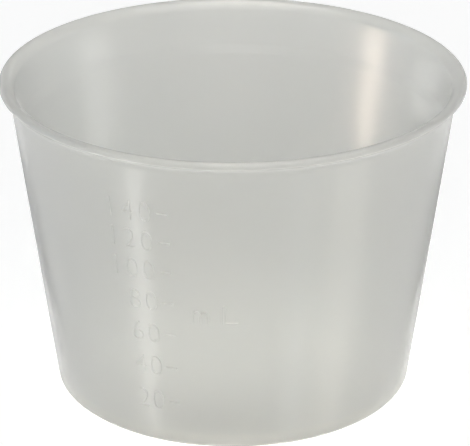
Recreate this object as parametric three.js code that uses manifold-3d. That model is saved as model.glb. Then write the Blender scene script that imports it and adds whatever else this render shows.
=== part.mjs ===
// A plastic gallipot: a small tapered pot, moulded in one piece, with a flared lip, an inner
// stacking shoulder and a raised scale. Its five regions are separate solids that meet face to face.
// Millimetres, +Z up, with the origin on the table under the middle of the foot.
// The front of the pot faces -Y, and bearings are degrees from there towards +X.

import * as THREE from 'three';
import { mergeVertices } from 'three/addons/utils/BufferGeometryUtils.js';
import Module from 'manifold-3d';

// Driving dimensions of the cup
const HEIGHT = 54.4;
const LIP_DIAMETER = 78;
const FOOT_DIAMETER = 60.4; // where the line of the outer wall meets the table

// Walls
const WALL_THICKNESS = 1.0;
const FLOOR_THICKNESS = 1.0;
const OUTER_CORNER_RADIUS = 1.3;
const INNER_CORNER_RADIUS = 1.5;

// Foot ring: the floor is lifted inside it, so that the pot stands on the ring alone
const FOOT_RECESS = 0.3;
const FOOT_RING_WIDTH = 3.2;
const FOOT_RING_SLOPE = 0.5; // run of the slope from the ring's face up into the recess

// Stacking shoulder: the wall is thinner above it, on the inside
const SHOULDER_DEPTH = 9.4; // from the top of the lip down to the foot of the shoulder
const SHOULDER_RISE = 1.6;
const COLLAR_FOOT_THICKNESS = 0.8;
const COLLAR_TOP_THICKNESS = 0.85;

// Lip
const LIP_OVERHANG = 1.5; // how far the edge stands out from the line of the outer wall
const LIP_EDGE_RADIUS = 0.6;
const LIP_INNER_RADIUS = 1.8;
const LIP_UNDERSIDE_RADIUS = 2.6;

// Raised scale: one tick for each step of volume that fits below the shoulder
const SCALE_STEP = 20; // millilitres
const TICK_BEARING = -17.9;
const TICK_LENGTH = 2.1;
const TICK_WIDTH = 0.5;
const TICK_RELIEF = 0.25;
const TICK_MARGIN = 0.5; // least wall left between a tick and the shoulder

// Fineness of the round surfaces
const TURN_SEGMENTS = 72;
const ARC_DIVISIONS = 3; // a curve of an outline has twice as many straight steps
const WELD_DISTANCE = 1e-4;

const MILLILITRE = 1000; // cubic millimetres
const QUARTER_TURN = Math.PI / 2;

const wasm = await Module();
wasm.setup();

// Taper of the outer wall: it runs from the foot's edge to a point one overhang inside the lip's edge.
const footRadius = FOOT_DIAMETER / 2;
const lipRadius = LIP_DIAMETER / 2;
const edgeHeight = HEIGHT - LIP_EDGE_RADIUS;
const wallSlope = (lipRadius - LIP_OVERHANG - footRadius) / edgeHeight;
const draft = Math.atan(wallSlope);
const outerRadius = (z) => footRadius + wallSlope * z;
const innerRadius = (z) => outerRadius(z) - WALL_THICKNESS;

// Levels where one region ends and the next begins
const floorLevel = FOOT_RECESS + FLOOR_THICKNESS;
const footTop = floorLevel + INNER_CORNER_RADIUS * (1 - Math.sin(draft));
const shoulderFoot = HEIGHT - SHOULDER_DEPTH;
const shoulderTop = shoulderFoot + SHOULDER_RISE;

// Foot ring: its flat face ends at the outer corner, and its slope ends at the edge of the floor
const outerCornerX = outerRadius(OUTER_CORNER_RADIUS) - OUTER_CORNER_RADIUS / Math.cos(draft);
const ringInside = outerCornerX - FOOT_RING_WIDTH;
const floorEdge = ringInside - FOOT_RING_SLOPE;

// The lip's outside is an S: a hollow underside that leaves the wall smoothly and meets the round edge.
// Distances here run along the wall and out from it.
const alongWall = new THREE.Vector2(Math.sin(draft), Math.cos(draft));
const outOfWall = new THREE.Vector2(Math.cos(draft), -Math.sin(draft));
const wallStart = new THREE.Vector2(footRadius, 0);
const edgeCentre = new THREE.Vector2(lipRadius - LIP_EDGE_RADIUS, edgeHeight);
const edgeFromStart = edgeCentre.clone().sub(wallStart);
const centreDistance = LIP_UNDERSIDE_RADIUS + LIP_EDGE_RADIUS;
const centreOffset = LIP_UNDERSIDE_RADIUS - edgeFromStart.dot(outOfWall);
const springDistance = edgeFromStart.dot(alongWall) - Math.sqrt(centreDistance ** 2 - centreOffset ** 2);
const lipSpring = wallStart.clone().addScaledVector(alongWall, springDistance);
const undersideCentre = lipSpring.clone().addScaledVector(outOfWall, LIP_UNDERSIDE_RADIUS);

// Inner face of the collar, from the top of the shoulder to where the lip springs, and on into the lip
const collarFootRadius = outerRadius(shoulderTop) - COLLAR_FOOT_THICKNESS;
const collarTopRadius = lipSpring.x - COLLAR_TOP_THICKNESS;
const collarSlope = (collarTopRadius - collarFootRadius) / (lipSpring.y - shoulderTop);
const collarDraft = Math.atan(collarSlope);

function turn(outline) {
  const points = outline.getPoints(ARC_DIVISIONS);
  return new THREE.LatheGeometry(points, TURN_SEGMENTS).rotateX(QUARTER_TURN);
}

function makeSolid(geometry) {
  const bare = geometry.clone();
  bare.deleteAttribute('normal');
  bare.deleteAttribute('uv');
  const welded = mergeVertices(bare, WELD_DISTANCE);
  const vertProperties = new Float32Array(welded.attributes.position.array);
  const triVerts = new Uint32Array(welded.index.array);
  return new wasm.Manifold(new wasm.Mesh({ numProp: 3, vertProperties, triVerts }));
}

function makeGeometry(solid) {
  const { vertProperties, triVerts } = solid.getMesh();
  const geometry = new THREE.BufferGeometry();
  geometry.setAttribute('position', new THREE.BufferAttribute(vertProperties, 3));
  geometry.setIndex(new THREE.BufferAttribute(triVerts, 1));
  geometry.computeVertexNormals();
  return geometry;
}

// Floor: the disc inside the foot ring
function floorGeometry() {
  const outline = new THREE.Path();
  outline.moveTo(0, FOOT_RECESS);
  outline.lineTo(floorEdge, FOOT_RECESS);
  outline.lineTo(floorEdge, floorLevel);
  outline.lineTo(0, floorLevel);
  return turn(outline);
}

// Foot ring: the flat ring that the pot stands on, and the round corner of the bottom, outside and in
function footRingGeometry() {
  const innerCornerZ = floorLevel + INNER_CORNER_RADIUS;
  const innerCornerX = innerRadius(innerCornerZ) - INNER_CORNER_RADIUS / Math.cos(draft);
  const outline = new THREE.Path();
  outline.moveTo(floorEdge, FOOT_RECESS);
  outline.lineTo(ringInside, 0);
  outline.absarc(outerCornerX, OUTER_CORNER_RADIUS, OUTER_CORNER_RADIUS, -QUARTER_TURN, -draft, false);
  outline.lineTo(outerRadius(footTop), footTop);
  outline.lineTo(innerRadius(footTop), footTop);
  outline.absarc(innerCornerX, innerCornerZ, INNER_CORNER_RADIUS, -draft, -QUARTER_TURN, true);
  outline.lineTo(floorEdge, floorLevel);
  outline.closePath();
  return turn(outline);
}

// Height at which the cup holds a volume, taking its inside as a plain cone down to the floor
function levelOf(volume) {
  const bottomRadius = innerRadius(floorLevel);
  const surfaceRadius = Math.cbrt(bottomRadius ** 3 + (3 * wallSlope * volume) / Math.PI);
  return floorLevel + (surfaceRadius - bottomRadius) / wallSlope;
}

// One tick of the scale: a short bar that stands out of the wall and is rooted halfway into it
function tickGeometry(level) {
  const root = WALL_THICKNESS / 2;
  const bar = new THREE.BoxGeometry(root + TICK_RELIEF, TICK_LENGTH, TICK_WIDTH);
  bar.translate((TICK_RELIEF - root) / 2, 0, 0);
  bar.rotateY(draft);
  bar.translate(outerRadius(level), 0, level);
  bar.rotateZ(THREE.MathUtils.degToRad(TICK_BEARING) - QUARTER_TURN);
  return bar;
}

// Side wall: a tapered ring with the ticks of the scale grown on its outside
function sideWallGeometry() {
  const outline = new THREE.Path();
  outline.moveTo(outerRadius(footTop), footTop);
  outline.lineTo(outerRadius(shoulderFoot), shoulderFoot);
  outline.lineTo(innerRadius(shoulderFoot), shoulderFoot);
  outline.lineTo(innerRadius(footTop), footTop);
  outline.closePath();
  let wall = makeSolid(turn(outline));
  const highestTick = shoulderFoot - TICK_MARGIN - TICK_WIDTH;
  const tickVolume = SCALE_STEP * MILLILITRE;
  for (let count = 1; levelOf(count * tickVolume) < highestTick; count++) {
    wall = wall.add(makeSolid(tickGeometry(levelOf(count * tickVolume))));
  }
  return makeGeometry(wall);
}

// Stacking collar: the shoulder on the inside, and the thinner wall above it
function collarGeometry() {
  const outline = new THREE.Path();
  outline.moveTo(outerRadius(shoulderFoot), shoulderFoot);
  outline.lineTo(lipSpring.x, lipSpring.y);
  outline.lineTo(collarTopRadius, lipSpring.y);
  outline.lineTo(collarFootRadius, shoulderTop);
  outline.lineTo(innerRadius(shoulderFoot), shoulderFoot);
  outline.closePath();
  return turn(outline);
}

// Lip: hollow underside, round edge with a point at its widest, and an inner round down to the collar
function lipGeometry() {
  const meeting = edgeCentre.clone().sub(undersideCentre).angle();
  const innerZ = HEIGHT - LIP_INNER_RADIUS;
  const faceRadius = collarTopRadius + collarSlope * (innerZ - lipSpring.y);
  const innerX = faceRadius + LIP_INNER_RADIUS / Math.cos(collarDraft);
  const { x: undersideX, y: undersideZ } = undersideCentre;
  const outline = new THREE.Path();
  outline.moveTo(lipSpring.x, lipSpring.y);
  outline.absarc(undersideX, undersideZ, LIP_UNDERSIDE_RADIUS, Math.PI - draft, meeting, true);
  outline.absarc(edgeCentre.x, edgeCentre.y, LIP_EDGE_RADIUS, meeting - Math.PI, 0, false);
  outline.absarc(edgeCentre.x, edgeCentre.y, LIP_EDGE_RADIUS, 0, QUARTER_TURN, false);
  outline.absarc(innerX, innerZ, LIP_INNER_RADIUS, QUARTER_TURN, Math.PI - collarDraft, false);
  outline.lineTo(collarTopRadius, lipSpring.y);
  outline.closePath();
  return turn(outline);
}

// Translucent polypropylene, as moulded: pale grey with a soft gloss
function polypropylene() {
  return new THREE.MeshStandardMaterial({
    color: 0xc4c5c1,
    roughness: 0.35,
    metalness: 0,
    transparent: true,
    opacity: 0.7,
  });
}

function piece(name, geometry) {
  const mesh = new THREE.Mesh(geometry, polypropylene());
  mesh.name = name;
  return mesh;
}

const gallipot = new THREE.Group();
gallipot.add(piece('floor', floorGeometry()));
gallipot.add(piece('foot_ring', footRingGeometry()));
gallipot.add(piece('side_wall', sideWallGeometry()));
gallipot.add(piece('stacking_collar', collarGeometry()));
gallipot.add(piece('rim_lip', lipGeometry()));

export default gallipot;
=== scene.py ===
"""Looks of a plastic gallipot: a small translucent measuring pot, moulded in one piece.

The frame gives the pot's levels and radii. This file turns one seamless moulding over it, raises the
volume scale on its wall, and sets the stage. Lengths are metres, +Z is up, the front faces -Y, and
bearings run from the front towards +X.
"""

import collections
import math
from typing import NamedTuple

import bmesh
import bpy
from bpy.props import FloatProperty, FloatVectorProperty, IntProperty, PointerProperty, StringProperty
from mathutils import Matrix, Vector


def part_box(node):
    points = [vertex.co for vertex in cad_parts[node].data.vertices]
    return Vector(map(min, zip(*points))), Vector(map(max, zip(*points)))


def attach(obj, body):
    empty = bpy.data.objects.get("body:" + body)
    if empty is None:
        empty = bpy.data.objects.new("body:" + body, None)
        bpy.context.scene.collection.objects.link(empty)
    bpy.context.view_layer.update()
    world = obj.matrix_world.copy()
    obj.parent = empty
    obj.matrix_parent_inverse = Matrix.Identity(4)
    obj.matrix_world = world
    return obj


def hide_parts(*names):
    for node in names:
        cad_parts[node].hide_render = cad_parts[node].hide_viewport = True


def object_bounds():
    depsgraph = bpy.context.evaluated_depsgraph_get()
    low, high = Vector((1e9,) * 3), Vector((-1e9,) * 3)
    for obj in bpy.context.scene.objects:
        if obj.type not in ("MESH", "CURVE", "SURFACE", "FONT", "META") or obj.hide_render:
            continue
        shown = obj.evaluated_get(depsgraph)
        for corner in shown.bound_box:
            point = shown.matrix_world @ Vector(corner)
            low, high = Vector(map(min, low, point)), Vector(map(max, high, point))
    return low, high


bl_info = {
    "name": "Plastic gallipot",
    "version": (1, 0, 0),
    "blender": (4, 5, 0),
    "location": "View3D > Sidebar > Gallipot",
    "description": "Builds a translucent measuring pot with a raised scale around its fixed frame",
    "category": "Add Mesh",
}

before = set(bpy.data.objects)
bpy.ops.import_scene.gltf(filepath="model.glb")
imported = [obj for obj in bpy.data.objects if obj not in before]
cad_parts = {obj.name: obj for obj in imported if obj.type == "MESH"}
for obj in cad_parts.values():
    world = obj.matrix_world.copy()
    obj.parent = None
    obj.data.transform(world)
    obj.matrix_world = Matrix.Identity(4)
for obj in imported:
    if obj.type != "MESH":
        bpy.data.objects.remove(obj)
CAD_LOW, CAD_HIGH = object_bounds()
FLOOR_LOW, FLOOR_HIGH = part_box("floor")
WALL_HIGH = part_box("side_wall")[1]
COLLAR_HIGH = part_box("stacking_collar")[1]

MM = 0.001
MICROMETRE = 1e-6
MILLILITRE = 1e-6
QUARTER_TURN = math.pi / 2
FULL_TURN = 2 * math.pi
PIECE_NAME = "pot_moulding"

# Fineness of the turned surfaces
ARC_STEP = math.radians(7.5)
RING_SPACING = 2.5 * MM
SHARP_ANGLE = math.radians(32)
WELD_DISTANCE = 1 * MICROMETRE

# The letters in units of the built-in font, which draws them less than one unit high. Points closer than
# the weld are joined, because a sloping side would fold over an edge that short.
LETTER_WELD = 0.01
LETTER_HALF_DEPTH = 0.1
LETTER_CURVE_STEPS = 6

# A face of a letter belongs to its top where its normal rises more than the first value. Where two sides
# meet in a sharp point, the top moves in by no more than the slope divided by the second.
TOP_FACE_RISE = 0.5
LEAST_MITRE = 0.5

# Octaves of the noise in the plastic and in its skin
CLOUD_DETAIL = 3.0
SKIN_DETAIL = 2.0

# Refractive index of polypropylene, which sets the gloss of its skin
SKIN_INDEX = 1.49

# Width of the photograph's frame, the camera sensor that it fills, and how near to the camera things still
# show, as a share of its distance
IMAGE_WIDTH = 470
SENSOR_WIDTH_MM = 36
NEAR_CLIP_SHARE = 0.01

# The floor lies just under the foot, so that the two never share a plane
FLOOR_DROP = 0.02 * MM
FLOOR_REACH = 3.0


def linear(hex_colour):
    """Linear colour, with an alpha of 1, of an sRGB hex value such as C4C5C1."""
    channels = []
    for start in (0, 2, 4):
        value = int(hex_colour[start:start + 2], 16) / 255
        if value <= 0.04045:
            channels.append(value / 12.92)
        else:
            channels.append(((value + 0.055) / 1.055) ** 2.4)
    return (*channels, 1.0)


def length(name, description, default):
    """A length that a user may change."""
    return FloatProperty(name=name, description=description, default=default, unit="LENGTH", precision=5)


def angle(name, description, degrees):
    """An angle that a user may change."""
    return FloatProperty(
        name=name, description=description, default=math.radians(degrees), subtype="ANGLE"
    )


def share(name, description, default):
    """A value from 0 to 1 that a user may change."""
    return FloatProperty(
        name=name, description=description, default=default, min=0, max=1, subtype="FACTOR"
    )


def level(name, description, default):
    """A brightness or an index that a user may change."""
    return FloatProperty(name=name, description=description, default=default, min=0)


def colour(name, description, hex_colour):
    """A colour that a user may change."""
    return FloatVectorProperty(
        name=name,
        description=description,
        default=linear(hex_colour),
        size=4,
        min=0,
        max=1,
        subtype="COLOR",
    )


class PotSizes(bpy.types.PropertyGroup):
    """Sizes of the moulding's section"""

    height: length("Height", "Table to the top of the lip", CAD_HIGH.z)
    lip_diameter: length("Lip diameter", "Across the lip's edge", CAD_HIGH.x - CAD_LOW.x)
    floor_level: length("Floor level", "Table to the inside of the floor", FLOOR_HIGH.z)
    foot_recess: length("Foot recess", "How far the floor is lifted inside the foot ring", FLOOR_LOW.z)
    shoulder_level: length("Shoulder level", "Table to the foot of the stacking shoulder", WALL_HIGH.z)
    wall_thickness: length("Wall", "Thickness of the wall below the shoulder", 1.0 * MM)
    shoulder_rise: length("Shoulder rise", "Height of the sloping shoulder", 1.6 * MM)
    collar_foot: length("Collar foot", "Thickness of the collar above the shoulder", 0.8 * MM)
    collar_top: length("Collar top", "Thickness of the collar where the lip springs", 0.85 * MM)
    outer_corner: length("Outer corner", "Radius of the bottom corner outside", 1.3 * MM)
    inner_corner: length("Inner corner", "Radius of the bottom corner inside", 1.5 * MM)
    ring_width: length("Foot ring width", "Width of the flat ring that the pot stands on", 3.2 * MM)
    lip_edge: length("Lip edge", "Radius of the lip's round edge", 0.6 * MM)
    lip_inner: length("Lip inside", "Radius from the top of the lip down to the collar", 1.8 * MM)
    lip_underside: length("Lip underside", "Radius of the hollow under the lip", 2.6 * MM)
    edge_round: length("Edge round", "Radius of the small rounds on the foot ring", 0.2 * MM)
    shoulder_round: length("Shoulder round", "Radius of the shoulder's two corners", 3.0 * MM)
    gate_radius: length("Gate radius", "Radius of the gate mark under the floor", 1.1 * MM)
    gate_rise: length("Gate rise", "How far the gate mark stands out of the floor", 0.18 * MM)
    turn_segments: IntProperty(
        name="Turn segments", description="Steps in a full turn of the moulding", default=288, min=24
    )


class ScaleSizes(bpy.types.PropertyGroup):
    """Sizes of the raised volume scale"""

    step: IntProperty(name="Step", description="Millilitres from one row to the next", default=20, min=1)
    unit: StringProperty(name="Unit", description="Letters of the unit mark", default="mL")
    relief: length("Relief", "How far the scale stands out of the wall", 0.2 * MM)
    root: length("Root", "How far the scale is rooted in the wall", 0.4 * MM)
    slope: length("Slope", "Width of the sloping sides of the scale's strokes", 0.14 * MM)
    digit_height: length("Digit height", "Height of the numbers", 3.8 * MM)
    digit_width: length("Digit width", "Width of a nought", 2.2 * MM)
    last_digit: angle("Last digit", "Bearing of each number's last digit", -22.8)
    digit_pitch: angle("Digit pitch", "Bearing from one digit to the next", 4.9)
    tick_bearing: angle("Tick bearing", "Bearing of the ticks", -17.9)
    tick_length: length("Tick length", "Length of a tick round the wall", 2.1 * MM)
    tick_width: length("Tick width", "Width of a tick up the wall", 0.5 * MM)
    tick_margin: length("Tick margin", "Least wall between a tick and the shoulder", 0.5 * MM)
    unit_bearing: angle("Unit bearing", "Bearing of the unit mark's middle", -4.98)
    unit_pitch: angle("Unit pitch", "Bearing from one letter of the unit mark to the next", 7.9)
    unit_level: length("Unit level", "Table to the middle of the unit mark", 26.2 * MM)
    unit_width: length("Unit width", "Width of each letter of the unit mark", 2.8 * MM)


class PlasticLook(bpy.types.PropertyGroup):
    """Colour, clarity and skin of the polypropylene"""

    body: colour("Body", "Colour of the plastic", "D7D7D4")
    cloud: colour("Cloud", "Colour of the plastic where it is milkier", "D4D5D2")
    # The lip and the foot are a shade lighter because thick plastic is milkier; on the lip the lighter
    # colour is also painted sheen, standing in for the light that the lip catches.
    thick: colour("Thick", "Colour of the plastic in the lip and the foot, where it is thick", "D8D8D4")
    lip_depth: length("Lip depth", "How far down from the top the lip is thick", 0.7 * MM)
    foot_height: length("Foot height", "How far up from the table the foot is thick", 2.4 * MM)
    thick_fade: length("Thick fade", "Height over which the thick plastic turns to wall", 0.8 * MM)
    cloud_size: length("Cloud size", "Size of the milky patches", 14 * MM)
    clarity: share("Clarity", "Share of the light that goes on through each face of the wall", 0.61)
    haze: share("Haze", "Roughness of what shows through the clearest plastic", 0.57)
    milky_haze: share("Milky haze", "Roughness of what shows through the milkiest plastic", 0.63)
    bend: level("Refractive index", "How much the thin wall bends the light that passes it", 1.2)
    spread: length("Spread", "How far light spreads inside the milky plastic", 2.0 * MM)
    skin: share("Skin", "Strength of the gloss on the moulded skin", 0.5)
    gloss: share("Gloss roughness", "Roughness of the moulded skin", 0.2)
    grain_size: length("Grain size", "Size of the fine unevenness of the skin", 0.7 * MM)
    grain_depth: length("Grain depth", "Depth of the fine unevenness of the skin", 2 * MICROMETRE)
    drag_size: length("Drag mark width", "Width of the marks left by drawing from the mould", 1.1 * MM)
    drag_length: length("Drag mark length", "Length of those marks down the wall", 30 * MM)
    drag_depth: length("Drag mark depth", "Depth of those marks", 3 * MICROMETRE)


class StageLook(bpy.types.PropertyGroup):
    """Camera, floor and lights"""

    elevation: angle("Elevation", "Camera above the horizon", 23.92)
    distance: length("Distance", "Camera to the point that it looks at", 482.2 * MM)
    aim_height: length("Aim height", "Height of the point that the camera looks at", 27.32 * MM)
    aim_side: length("Aim side", "How far right of the pot's axis the camera looks", 0.335 * MM)
    focal_pixels: FloatProperty(
        name="Focal length", description="Focal length in pixels of the photograph", default=2825.0
    )
    board: colour("Board", "Colour of the pale floor", "F9F9F8")
    card: colour("Card", "Colour of the grey cards beside the pot", "8C9094")
    board_glow: level("Board glow", "Strength that brings the shown floor up to white", 0.28)
    room_light: level("Room light", "Strength of the light all round", 0.66)


class PotShape:
    """Lines and centres of the pot's section, worked out from its sizes."""

    def __init__(self, sizes):
        self.sizes = sizes
        rise = COLLAR_HIGH.z - WALL_HIGH.z
        self.slope = (COLLAR_HIGH.x - WALL_HIGH.x) / rise
        self.draft = math.atan(self.slope)
        self.foot_radius = WALL_HIGH.x - self.slope * WALL_HIGH.z
        self.along = Vector((math.sin(self.draft), math.cos(self.draft)))
        self.out = Vector((math.cos(self.draft), -math.sin(self.draft)))
        self.lip_edge = Vector((sizes.lip_diameter / 2 - sizes.lip_edge, sizes.height - sizes.lip_edge))
        self.spring = self.lip_spring()
        self.shoulder_top = sizes.shoulder_level + sizes.shoulder_rise
        self.collar_x = self.outer(self.shoulder_top) - sizes.collar_foot
        collar_rise = self.spring.y - self.shoulder_top
        self.collar_slope = (self.spring.x - sizes.collar_top - self.collar_x) / collar_rise

    def lip_spring(self):
        """Point of the outer wall where the hollow under the lip begins."""
        sizes = self.sizes
        start = Vector((self.foot_radius, 0))
        reach = self.lip_edge - start
        between = sizes.lip_underside + sizes.lip_edge
        offset = sizes.lip_underside - reach.dot(self.out)
        return start + self.along * (reach.dot(self.along) - math.sqrt(between ** 2 - offset ** 2))

    def outer(self, height):
        return self.foot_radius + self.slope * height

    def inner(self, height):
        return self.outer(height) - self.sizes.wall_thickness

    def level_of(self, volume):
        """Height at which the pot holds a volume, with its inside as a plain cone down to the floor."""
        bottom = self.inner(self.sizes.floor_level)
        surface = (bottom ** 3 + 3 * self.slope * volume / math.pi) ** (1 / 3)
        return self.sizes.floor_level + (surface - bottom) / self.slope

    def on_wall(self, bearing, height, across, up, out):
        """A point across, up and out of the outer wall from a place on it."""
        turned = bearing + across / self.outer(height)
        place = Vector((self.outer(height), height)) + self.along * up + self.out * out
        return Vector((place.x * math.sin(turned), -place.x * math.cos(turned), place.y))

    def section(self):
        """The closed half section, from the axis under the floor round to the axis above it."""
        return [*self.foot(), *self.lip(), *self.inside()]

    def foot(self):
        """Underside of the floor with its gate mark, the foot ring and the outer bottom corner."""
        sizes = self.sizes
        corner_x = self.outer(sizes.outer_corner) - sizes.outer_corner / math.cos(self.draft)
        gate_level = sizes.foot_recess - sizes.gate_rise
        corners = [
            (Vector((FLOOR_HIGH.x, sizes.foot_recess)), sizes.edge_round),
            (Vector((corner_x - sizes.ring_width, 0)), sizes.edge_round),
        ]
        start = Vector((sizes.gate_radius, sizes.foot_recess))
        end = Vector((corner_x, 0))
        points = [Vector((0, gate_level))]
        points += [Vector((sizes.gate_radius - sizes.gate_rise, gate_level))]
        points += rounded(start, corners, end)
        points += arc((corner_x, sizes.outer_corner), sizes.outer_corner, -QUARTER_TURN, -self.draft)
        return points

    def lip(self):
        """The outer wall up to the lip, its hollow underside, its round edge and its inner round."""
        sizes = self.sizes
        edge = self.lip_edge
        hollow = self.spring + self.out * sizes.lip_underside
        meeting = math.atan2(edge.y - hollow.y, edge.x - hollow.x)
        collar_draft = math.atan(self.collar_slope)
        inner_z = sizes.height - sizes.lip_inner
        face = self.spring.x - sizes.collar_top + self.collar_slope * (inner_z - self.spring.y)
        inner_x = face + sizes.lip_inner / math.cos(collar_draft)
        points = arc(hollow, sizes.lip_underside, math.pi - self.draft, meeting)
        points += arc(edge, sizes.lip_edge, meeting - math.pi, 0)[1:]
        points += arc(edge, sizes.lip_edge, 0, QUARTER_TURN)[1:]
        points += arc((inner_x, inner_z), sizes.lip_inner, QUARTER_TURN, math.pi - collar_draft)
        return points

    def inside(self):
        """The collar's face, the stacking shoulder, the inner wall, the inner corner and the floor."""
        sizes = self.sizes
        corner_z = sizes.floor_level + sizes.inner_corner
        corner_x = self.inner(corner_z) - sizes.inner_corner / math.cos(self.draft)
        corners = [
            (Vector((self.collar_x, self.shoulder_top)), sizes.shoulder_round),
            (Vector((self.inner(sizes.shoulder_level), sizes.shoulder_level)), sizes.shoulder_round),
        ]
        start = Vector((self.spring.x - sizes.collar_top, self.spring.y))
        end = Vector((self.inner(corner_z), corner_z))
        points = rounded(start, corners, end)[:-1]
        points += arc((corner_x, corner_z), sizes.inner_corner, -self.draft, -QUARTER_TURN)
        points += [Vector((0, sizes.floor_level))]
        return points


def arc(centre, radius, start, end):
    """Points on an arc of a section, from one angle to another, in even steps."""
    steps = max(2, math.ceil(abs(end - start) / ARC_STEP))
    points = []
    for step in range(steps + 1):
        turned = start + (end - start) * step / steps
        points.append(Vector(centre) + Vector((math.cos(turned), math.sin(turned))) * radius)
    return points


def rounded(start, corners, end):
    """A line of a section through corners, each rounded with its own radius."""
    points = [start]
    places = [start, *[place for place, radius in corners], end]
    for index, (place, radius) in enumerate(corners, start=1):
        back = (places[index - 1] - place).normalized()
        onward = (places[index + 1] - place).normalized()
        half = back.angle(onward) / 2
        centre = place + (back + onward).normalized() * (radius / math.sin(half))
        first = place + back * (radius / math.tan(half)) - centre
        last = place + onward * (radius / math.tan(half)) - centre
        begin = math.atan2(first.y, first.x)
        sweep = math.remainder(math.atan2(last.y, last.x) - begin, FULL_TURN)
        points += arc(centre, radius, begin, begin + sweep)
    points.append(end)
    return points


def ringed(points):
    """The section with points added on its long straights, so that the turned faces stay compact."""
    filled = [points[0]]
    for previous, point in zip(points, points[1:]):
        steps = max(1, math.ceil((point - previous).length / RING_SPACING))
        for step in range(1, steps + 1):
            filled.append(previous.lerp(point, step / steps))
    return filled


def turn_section(points, segments):
    """A closed mesh turned from a half section round the Z axis."""
    mesh = bmesh.new()
    ring = [mesh.verts.new((point.x, 0, point.y)) for point in points]
    edges = [mesh.edges.new(pair) for pair in zip(ring, ring[1:])]
    bmesh.ops.spin(
        mesh,
        geom=[*ring, *edges],
        cent=(0, 0, 0),
        axis=(0, 0, 1),
        angle=FULL_TURN,
        steps=segments,
        use_merge=True,
    )
    bmesh.ops.remove_doubles(mesh, verts=mesh.verts, dist=WELD_DISTANCE)
    bmesh.ops.recalc_face_normals(mesh, faces=mesh.faces)
    return mesh


def finish_mesh(mesh):
    """Checks that a mesh is closed, and smooths its faces with the edges of the scale left crisp."""
    counts = collections.Counter(edge for face in mesh.polygons for edge in face.edge_keys)
    if any(count != 2 for count in counts.values()):
        raise RuntimeError("the moulding has an open or doubled edge")
    mesh.shade_smooth()
    mesh.set_sharp_from_angle(angle=SHARP_ANGLE)


def evaluated_mesh(item):
    """A new mesh of an object with its modifiers, or of a text as solid letters."""
    graph = bpy.context.evaluated_depsgraph_get()
    return bpy.data.meshes.new_from_object(item.evaluated_get(graph))


class Relief:
    """Raised marks that are wrapped onto the outer wall and then grown out of it."""

    def __init__(self, shape, sizes):
        self.shape = shape
        self.sizes = sizes
        self.mesh = bmesh.new()

    def wrap(self, verts, bearing, height):
        """Bends marks drawn flat, with their face up, onto the wall at a place."""
        for vert in verts:
            across, up, out = vert.co
            vert.co = self.shape.on_wall(bearing, height, across, up, out)

    def add_tick(self, height):
        """One short bar across the wall."""
        sizes = self.sizes
        depth = sizes.relief + sizes.root
        made = bmesh.ops.create_cube(self.mesh, size=1.0)
        for vert in made["verts"]:
            across, up, out = vert.co
            edge = 2 * sizes.slope if out > 0 else 0
            out = out * depth + (sizes.relief - sizes.root) / 2
            vert.co = (across * (sizes.tick_length - edge), up * (sizes.tick_width - edge), out)
        self.wrap(made["verts"], sizes.tick_bearing, height)

    def add_letter(self, character, bearing, height, width=None):
        """One letter or digit of the built-in font, in the digits' proportions unless a width is given."""
        sizes = self.sizes
        nought = letter_mesh("0")
        letter = letter_mesh(character)
        widen = sizes.digit_width / span(nought, 0)
        if width is not None:
            widen = width / span(letter, 0)
        heighten = sizes.digit_height / span(nought, 1)
        mark = bmesh.new()
        mark.from_mesh(letter)
        bmesh.ops.remove_doubles(mark, verts=mark.verts, dist=LETTER_WELD)
        for vert in mark.verts:
            up = vert.co.y * heighten - sizes.digit_height / 2
            out = sizes.relief if vert.co.z > 0 else -sizes.root
            vert.co = (vert.co.x * widen, up, out)
        slope_sides(mark, sizes.slope)
        self.wrap(mark.verts, bearing, height)
        mark.to_mesh(letter)
        mark.free()
        self.mesh.from_mesh(letter)
        bpy.data.meshes.remove(letter)
        bpy.data.meshes.remove(nought)

    def grow_on(self, piece):
        """Joins the marks to a piece as one closed skin."""
        mesh = bpy.data.meshes.new("relief")
        self.mesh.to_mesh(mesh)
        self.mesh.free()
        marks = bpy.data.objects.new("relief", mesh)
        bpy.context.scene.collection.objects.link(marks)
        union = piece.modifiers.new("relief", "BOOLEAN")
        union.operation = "UNION"
        union.solver = "EXACT"
        union.object = marks
        grown = evaluated_mesh(piece)
        piece.modifiers.remove(union)
        bare = piece.data
        piece.data = grown
        bpy.data.meshes.remove(bare)
        bpy.data.objects.remove(marks)
        bpy.data.meshes.remove(mesh)
        grown.name = PIECE_NAME
        finish_mesh(grown)


def letter_mesh(character):
    """A solid letter of the built-in font, drawn flat and centred across."""
    text = bpy.data.curves.new("letter", "FONT")
    text.body = character
    text.align_x = "CENTER"
    text.extrude = LETTER_HALF_DEPTH
    text.resolution_u = LETTER_CURVE_STEPS
    item = bpy.data.objects.new("letter", text)
    bpy.context.scene.collection.objects.link(item)
    mesh = evaluated_mesh(item)
    bpy.data.objects.remove(item)
    bpy.data.curves.remove(text)
    return mesh


def span(mesh, axis):
    """Size of a mesh along one axis."""
    places = [vert.co[axis] for vert in mesh.vertices]
    return max(places) - min(places)


def slope_sides(mark, slope):
    """Draws the top of a mark in all round, so that its sides slope like those of an engraved mould."""
    bmesh.ops.recalc_face_normals(mark, faces=mark.faces)
    tops = [face for face in mark.faces if face.normal.z > TOP_FACE_RISE]
    bmesh.ops.delete(mark, geom=tops, context="FACES")
    moves = {}
    for vert in mark.verts:
        if vert.co.z > 0:
            sides = [face.normal.copy() for face in vert.link_faces]
            inward = -sum(sides, Vector()).normalized()
            moves[vert] = inward * slope / max(-inward.dot(sides[0]), LEAST_MITRE)
    for vert, move in moves.items():
        vert.co += move
    rim = [edge for edge in mark.edges if edge.is_boundary]
    bmesh.ops.triangle_fill(mark, use_beauty=True, edges=rim, normal=(0, 0, 1))


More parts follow.
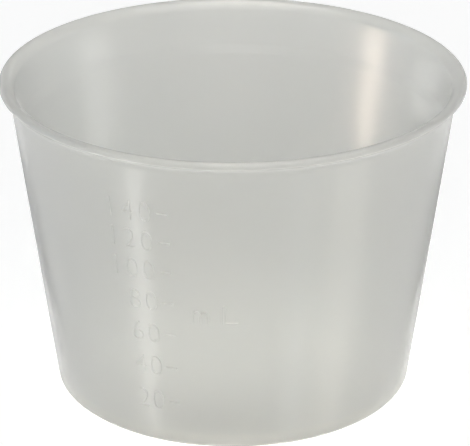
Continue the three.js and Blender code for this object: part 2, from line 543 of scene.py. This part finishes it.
def add_node(tree, kind, settings, links):
    """Adds a node, sets its values and properties, and links sockets to its inputs."""
    node = tree.nodes.new(kind)
    for name, value in settings.items():
        if isinstance(name, int) or name in node.inputs:
            node.inputs[name].default_value = value
        else:
            setattr(node, name, value)
    for name, socket in links.items():
        tree.links.new(socket, node.inputs[name])
    return node


def thick_plastic(tree, look, place):
    """Socket that is 1 in the lip and the foot, and 0 in the wall between them: where the plastic is
    thick, and on the lip also where its painted sheen goes.
    """
    height = add_node(tree, "ShaderNodeSeparateXYZ", {}, {0: place}).outputs["Z"]
    lip_level = CAD_HIGH.z - look.lip_depth
    lip = add_node(
        tree,
        "ShaderNodeMapRange",
        {"From Min": lip_level - look.thick_fade, "From Max": lip_level},
        {"Value": height},
    )
    foot = add_node(
        tree,
        "ShaderNodeMapRange",
        {"From Min": look.foot_height + look.thick_fade, "From Max": look.foot_height},
        {"Value": height},
    )
    either = add_node(
        tree, "ShaderNodeMath", {"operation": "MAXIMUM"}, {0: lip.outputs[0], 1: foot.outputs[0]}
    )
    return either.outputs[0]


def moulded_skin(tree, look, place):
    """Socket of the normal of a skin with the fine grain of the mould and the marks of drawing from it."""
    grain = add_node(
        tree,
        "ShaderNodeTexNoise",
        {"Scale": 1 / look.grain_size, "Detail": SKIN_DETAIL},
        {"Vector": place},
    )
    drawn = add_node(
        tree,
        "ShaderNodeVectorMath",
        {"operation": "MULTIPLY", 1: (1 / look.drag_size, 1 / look.drag_size, 1 / look.drag_length)},
        {0: place},
    )
    drag = add_node(
        tree, "ShaderNodeTexNoise", {"Scale": 1.0, "Detail": SKIN_DETAIL}, {"Vector": drawn.outputs[0]}
    )
    grained = add_node(
        tree,
        "ShaderNodeBump",
        {"Strength": 1.0, "Distance": look.grain_depth},
        {"Height": grain.outputs["Fac"]},
    )
    dragged = add_node(
        tree,
        "ShaderNodeBump",
        {"Strength": 1.0, "Distance": look.drag_depth},
        {"Height": drag.outputs["Fac"], "Normal": grained.outputs[0]},
    )
    return dragged.outputs[0]


def moulded_polypropylene(look):
    """Polypropylene, injection moulded: a hazy body that passes light, under a smooth soft-gloss skin."""
    # The eye sees pale grey with shapes behind it as a blur, milkier in soft patches, and highlights that
    # are broad and a little wavy, because the skin copies the grain and the drag marks of the mould.
    material = bpy.data.materials.new("polypropylene_moulded_translucent")
    material.use_nodes = True
    tree = material.node_tree
    tree.nodes.clear()
    place = add_node(tree, "ShaderNodeTexCoord", {}, {}).outputs["Object"]
    patches = add_node(
        tree,
        "ShaderNodeTexNoise",
        {"Scale": 1 / look.cloud_size, "Detail": CLOUD_DETAIL},
        {"Vector": place},
    ).outputs["Fac"]
    wall_tint = add_node(
        tree, "ShaderNodeMix", {"data_type": "RGBA", 6: look.body, 7: look.cloud}, {0: patches}
    ).outputs[2]
    # The lip and the foot take the lighter thick colour: milkier thick plastic, and on the lip also
    # painted sheen.
    tint = add_node(
        tree,
        "ShaderNodeMix",
        {"data_type": "RGBA", 7: look.thick},
        {0: thick_plastic(tree, look, place), 6: wall_tint},
    ).outputs[2]
    blur = add_node(
        tree, "ShaderNodeMapRange", {"To Min": look.haze, "To Max": look.milky_haze}, {"Value": patches}
    ).outputs[0]
    skin = moulded_skin(tree, look, place)
    shader = add_node(
        tree,
        "ShaderNodeBsdfPrincipled",
        {
            "IOR": look.bend,
            "Transmission Weight": look.clarity,
            "Subsurface Weight": 1.0,
            "Subsurface Radius": (1.0, 1.0, 1.0),
            "Subsurface Scale": look.spread,
            "Coat Weight": look.skin,
            "Coat Roughness": look.gloss,
            "Coat IOR": SKIN_INDEX,
        },
        {"Base Color": tint, "Roughness": blur, "Normal": skin, "Coat Normal": skin},
    )
    add_node(tree, "ShaderNodeOutputMaterial", {}, {"Surface": shader.outputs["BSDF"]})
    return material


def background_rays(tree):
    """Socket that is 1 for the rays that show the background, straight, in a gloss or through plastic."""
    path = add_node(tree, "ShaderNodeLightPath", {}, {})
    seen = add_node(
        tree,
        "ShaderNodeMath",
        {"operation": "MAXIMUM"},
        {0: path.outputs["Is Camera Ray"], 1: path.outputs["Is Glossy Ray"]},
    )
    through = add_node(
        tree,
        "ShaderNodeMath",
        {"operation": "MAXIMUM"},
        {0: seen.outputs[0], 1: path.outputs["Is Transmission Ray"]},
    )
    return through.outputs[0]


def pale_board(look):
    """Matt white board: a pale floor that shows as white and keeps the pot's shadow."""
    material = bpy.data.materials.new("board_matt_white")
    material.use_nodes = True
    tree = material.node_tree
    tree.nodes.clear()
    paint = add_node(tree, "ShaderNodeBsdfDiffuse", {"Color": look.board}, {})
    glow = add_node(tree, "ShaderNodeEmission", {"Color": (1, 1, 1, 1)}, {})
    strength = add_node(
        tree, "ShaderNodeMath", {"operation": "MULTIPLY", 1: look.board_glow}, {0: background_rays(tree)}
    )
    tree.links.new(strength.outputs[0], glow.inputs["Strength"])
    both = add_node(tree, "ShaderNodeAddShader", {}, {0: paint.outputs[0], 1: glow.outputs[0]})
    add_node(tree, "ShaderNodeOutputMaterial", {}, {"Surface": both.outputs[0]})
    return material


class Lamp(NamedTuple):
    """One rectangular lamp that faces the pot: its place, its size, its brightness and its colour."""

    name: str
    bearing: float
    elevation: float
    distance: float
    width: float
    height: float
    level: float
    colour: str
    gleam: bool = False


# Bearings and elevations are degrees and the rest metres. A lamp's level is the brightness that it gives
# a white card at the pot. A gleam lamp shows only in the plastic: the two overhead draw the lip, and the
# low ones are mirror images of lamps in a polished table, which draw the streaks on the front.
LAMPS = (
    Lamp("lamp_front", 0, 15, 0.8, 0.5, 0.3, 0.23, "FFFEFC"),
    Lamp("lamp_left", -100, 10, 0.8, 0.3, 0.3, 0.075, "BCD6FF"),
    Lamp("lamp_right", 100, 10, 0.8, 0.3, 0.3, 0.085, "F0F4FF"),
    Lamp("gleam_over", 0, 72, 0.5, 0.6, 0.6, 1.4, "FFFFFF", True),
    Lamp("gleam_lip", -165, 80, 0.5, 0.12, 0.12, 0.2, "FFF2DE", True),
    Lamp("gleam_front_left", -54, -33.5, 0.5, 0.06, 0.15, 0.062, "FFFCFA", True),
    Lamp("gleam_front_right", 38, -38.5, 0.5, 0.05, 0.2, 0.02, "F4FCFF", True),
    Lamp("gleam_front_warm", 66, -36, 0.5, 0.16, 0.2, 0.055, "FFFAEC", True),
)


class LitCard(NamedTuple):
    """One upright lit card in the pot: its place, its outline, its brightness and its colour."""

    name: str
    side: float
    outline: tuple
    level: float
    colour: str


# A card's place to the side and its outline, back and up, are millimetres. The outline runs anticlockwise
# round the lit face. The cards show only in the gloss of the inner wall, and draw its tall highlights.
LEFT_OUTLINE = ((17.5, 25), (20.5, 25), (22.8, 45), (22.4, 50.5), (20.4, 50.8), (18.3, 43.7))
RIGHT_OUTLINE = ((22.5, 25), (14.8, 25), (15.2, 30), (17, 47.4), (24.5, 46.4), (24.7, 45))
FAR_OUTLINE = ((16.8, 39), (17.8, 40.5), (19.6, 48.4), (19.2, 50.2), (18.4, 49), (16.9, 41.5))
LIT_CARDS = (
    LitCard("lit_card_left", -12, LEFT_OUTLINE, 25.0, "FFEAD6"),
    LitCard("lit_card_right", 12, RIGHT_OUTLINE, 4.6, "FFFFFC"),
    LitCard("lit_card_far", 27, FAR_OUTLINE, 3.0, "FFFEFC"),
)

# Grey cards that stand on both sides, just out of the picture. They show only in what the plastic mirrors
# and lets through, and give the wall its darker edges against the white.
CARD_SIDE = 48 * MM
CARD_CORNERS = ((5 * MM, 0.0), (65 * MM, 0.0), (65 * MM, 28 * MM), (5 * MM, 28 * MM))

# Oval spot over the mouth: its pool of light lies on the back of the pot's floor
SPOT_HEIGHT = 1.0
SPOT_BACK = 8 * MM
SPOT_HALF_WIDTH = 40 * MM
SPOT_HALF_DEPTH = 27 * MM
SPOT_BLEND = 1.0
SPOT_RADIUS = 5 * MM
SPOT_POWER = 32.0


def add_floor_spot():
    """Adds a spot that lights the inside of the pot's floor and the table under it."""
    light = bpy.data.lights.new("lamp_floor", "SPOT")
    light.spot_size = 2 * math.atan(SPOT_HALF_DEPTH / SPOT_HEIGHT)
    light.spot_blend = SPOT_BLEND
    light.shadow_soft_size = SPOT_RADIUS
    light.energy = SPOT_POWER
    light.use_shadow = False
    item = bpy.data.objects.new("lamp_floor", light)
    item.location = (0, SPOT_BACK, SPOT_HEIGHT)
    item.scale.x = SPOT_HALF_WIDTH / SPOT_HALF_DEPTH
    bpy.context.scene.collection.objects.link(item)


def lit_paper(card):
    """Lit paper: a bright even face, and clear from behind."""
    # It isn't sampled as a lamp, because the plastic would then also pass its light to the other side.
    material = bpy.data.materials.new("paper_" + card.name)
    material.use_nodes = True
    material.cycles.emission_sampling = "NONE"
    tree = material.node_tree
    tree.nodes.clear()
    glow = add_node(tree, "ShaderNodeEmission", {"Color": linear(card.colour), "Strength": card.level}, {})
    clear = add_node(tree, "ShaderNodeBsdfTransparent", {}, {})
    facing = add_node(tree, "ShaderNodeNewGeometry", {}, {})
    both = add_node(
        tree,
        "ShaderNodeMixShader",
        {},
        {0: facing.outputs["Backfacing"], 1: glow.outputs[0], 2: clear.outputs[0]},
    )
    add_node(tree, "ShaderNodeOutputMaterial", {}, {"Surface": both.outputs[0]})
    return material


def grey_paper(look):
    """Matt grey paper: an even mid grey without gloss."""
    material = bpy.data.materials.new("card_matt_grey")
    material.use_nodes = True
    tree = material.node_tree
    tree.nodes.clear()
    paper = add_node(tree, "ShaderNodeBsdfPrincipled", {"Base Color": look.card, "Roughness": 1.0}, {})
    add_node(tree, "ShaderNodeOutputMaterial", {}, {"Surface": paper.outputs["BSDF"]})
    return material


def add_sheet(name, corners, material, hidden_from):
    """Adds a flat sheet to the stage that the named kinds of ray don't meet."""
    mesh = bpy.data.meshes.new(name)
    mesh.from_pydata(corners, [], [range(len(corners))])
    mesh.materials.append(material)
    item = bpy.data.objects.new(name, mesh)
    for kind in hidden_from:
        setattr(item, "visible_" + kind, False)
    bpy.context.scene.collection.objects.link(item)


def add_lamp(lamp):
    """Adds a rectangular soft lamp that faces the pot from a bearing and a height."""
    light = bpy.data.lights.new(lamp.name, "AREA")
    light.shape = "RECTANGLE"
    light.size = lamp.width
    light.size_y = lamp.height
    light.energy = 4 * math.pi * lamp.distance ** 2 * lamp.level
    light.color = linear(lamp.colour)[:3]
    item = bpy.data.objects.new(lamp.name, light)
    bearing = math.radians(lamp.bearing)
    elevation = math.radians(lamp.elevation)
    side = math.cos(elevation)
    away = Vector((math.sin(bearing) * side, -math.cos(bearing) * side, math.sin(elevation)))
    item.location = Vector((0, 0, CAD_HIGH.z / 2)) + away * lamp.distance
    item.rotation_euler = away.to_track_quat("Z", "Y").to_euler()
    if lamp.gleam:
        light.use_shadow = False
        light.cycles.use_multiple_importance_sampling = False
        item.visible_diffuse = False
        item.visible_transmission = False
        item.visible_camera = False
    bpy.context.scene.collection.objects.link(item)


class GALLIPOT_OT_moulding(bpy.types.Operator):
    """Turn the pot as one seamless moulding"""

    bl_idname = "gallipot.moulding"
    bl_label = "Turn the moulding"

    def execute(self, context):
        scene = context.scene
        shape = PotShape(scene.pot_sizes)
        turned = turn_section(ringed(shape.section()), scene.pot_sizes.turn_segments)
        mesh = bpy.data.meshes.new(PIECE_NAME)
        turned.to_mesh(mesh)
        turned.free()
        finish_mesh(mesh)
        mesh.materials.append(moulded_polypropylene(scene.plastic_look))
        piece = bpy.data.objects.new(PIECE_NAME, mesh)
        scene.collection.objects.link(piece)
        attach(piece, "root")
        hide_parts("floor", "foot_ring", "side_wall", "stacking_collar", "rim_lip")
        return {"FINISHED"}


class GALLIPOT_OT_scale(bpy.types.Operator):
    """Raise the volume scale on the wall: ticks, numbers and the unit mark"""

    bl_idname = "gallipot.scale"
    bl_label = "Raise the scale"

    def execute(self, context):
        scene = context.scene
        sizes = scene.scale_sizes
        shape = PotShape(scene.pot_sizes)
        relief = Relief(shape, sizes)
        highest = scene.pot_sizes.shoulder_level - sizes.tick_margin - sizes.tick_width
        volume = sizes.step
        while shape.level_of(volume * MILLILITRE) < highest:
            height = shape.level_of(volume * MILLILITRE)
            relief.add_tick(height)
            for place, digit in enumerate(reversed(str(volume))):
                relief.add_letter(digit, sizes.last_digit - place * sizes.digit_pitch, height)
            volume += sizes.step
        middle = (len(sizes.unit) - 1) / 2
        for place, letter in enumerate(sizes.unit):
            bearing = sizes.unit_bearing + (place - middle) * sizes.unit_pitch
            relief.add_letter(letter, bearing, sizes.unit_level, sizes.unit_width)
        relief.grow_on(bpy.data.objects[PIECE_NAME])
        return {"FINISHED"}


class GALLIPOT_OT_stage(bpy.types.Operator):
    """Set the camera, the pale floor and the soft light"""

    bl_idname = "gallipot.stage"
    bl_label = "Set the stage"

    def execute(self, context):
        scene = context.scene
        look = scene.stage_look
        scene.view_settings.view_transform = "Standard"
        self.add_camera(scene, look)
        self.add_floor(look)
        self.add_grey_cards(look)
        self.light_room(scene, look)
        for lamp in LAMPS:
            add_lamp(lamp)
        self.add_lit_cards()
        add_floor_spot()
        return {"FINISHED"}

    def add_camera(self, scene, look):
        """Adds the camera of the photograph."""
        camera = bpy.data.cameras.new("camera")
        camera.sensor_width = SENSOR_WIDTH_MM
        camera.lens = look.focal_pixels * SENSOR_WIDTH_MM / IMAGE_WIDTH
        item = bpy.data.objects.new("camera", camera)
        back = Vector((0, -math.cos(look.elevation), math.sin(look.elevation)))
        item.location = Vector((look.aim_side, 0, look.aim_height)) + back * look.distance
        item.rotation_euler = (QUARTER_TURN - look.elevation, 0, 0)
        camera.clip_start = look.distance * NEAR_CLIP_SHARE
        scene.collection.objects.link(item)
        scene.camera = item

    def add_floor(self, look):
        """Adds the pale board under the pot."""
        reach = FLOOR_REACH
        flat = ((-reach, -reach), (reach, -reach), (reach, reach), (-reach, reach))
        corners = [(x, y, -FLOOR_DROP) for x, y in flat]
        add_sheet("stage_floor", corners, pale_board(look), ())

    def add_grey_cards(self, look):
        """Adds a grey card on each side of the pot."""
        material = grey_paper(look)
        for name, side in (("stage_card_left", -CARD_SIDE), ("stage_card_right", CARD_SIDE)):
            corners = [(side, y, z) for y, z in CARD_CORNERS]
            add_sheet(name, corners, material, ("camera", "diffuse", "shadow"))

    def add_lit_cards(self):
        """Adds the lit cards in the pot's hollow, which nothing but the gloss of the plastic shows."""
        for card in LIT_CARDS:
            corners = [Vector((card.side, back, up)) * MM for back, up in card.outline]
            add_sheet(card.name, corners, lit_paper(card), ("camera", "diffuse", "transmission", "shadow"))

    def light_room(self, scene, look):
        """Sets the even light all round."""
        world = bpy.data.worlds.new("room")
        world.use_nodes = True
        tree = world.node_tree
        tree.nodes.clear()
        light = add_node(
            tree, "ShaderNodeBackground", {"Color": (1, 1, 1, 1), "Strength": look.room_light}, {}
        )
        add_node(tree, "ShaderNodeOutputWorld", {}, {"Surface": light.outputs[0]})
        scene.world = world


class GALLIPOT_PT_panel(bpy.types.Panel):
    """Sizes, colours and steps of the pot"""

    bl_idname = "GALLIPOT_PT_panel"
    bl_label = "Gallipot"
    bl_space_type = "VIEW_3D"
    bl_region_type = "UI"
    bl_category = "Gallipot"

    def draw(self, context):
        for name in PROPERTY_GROUPS:
            group = getattr(context.scene, name)
            box = self.layout.box()
            box.label(text=name.replace("_", " ").capitalize())
            for key in group.__annotations__:
                box.prop(group, key)
        for operator in OPERATORS:
            self.layout.operator(operator.bl_idname)


PROPERTY_GROUPS = {
    "pot_sizes": PotSizes,
    "scale_sizes": ScaleSizes,
    "plastic_look": PlasticLook,
    "stage_look": StageLook,
}
OPERATORS = (GALLIPOT_OT_moulding, GALLIPOT_OT_scale, GALLIPOT_OT_stage)


def register():
    for name, group in PROPERTY_GROUPS.items():
        bpy.utils.register_class(group)
        setattr(bpy.types.Scene, name, PointerProperty(type=group))
    for operator in OPERATORS:
        bpy.utils.register_class(operator)
    bpy.utils.register_class(GALLIPOT_PT_panel)


def unregister():
    bpy.utils.unregister_class(GALLIPOT_PT_panel)
    for operator in reversed(OPERATORS):
        bpy.utils.unregister_class(operator)
    for name, group in reversed(PROPERTY_GROUPS.items()):
        delattr(bpy.types.Scene, name)
        bpy.utils.unregister_class(group)


def main():
    register()
    bpy.ops.gallipot.moulding()
    bpy.ops.gallipot.scale()
    bpy.ops.gallipot.stage()


if __name__ == "__main__":
    main()
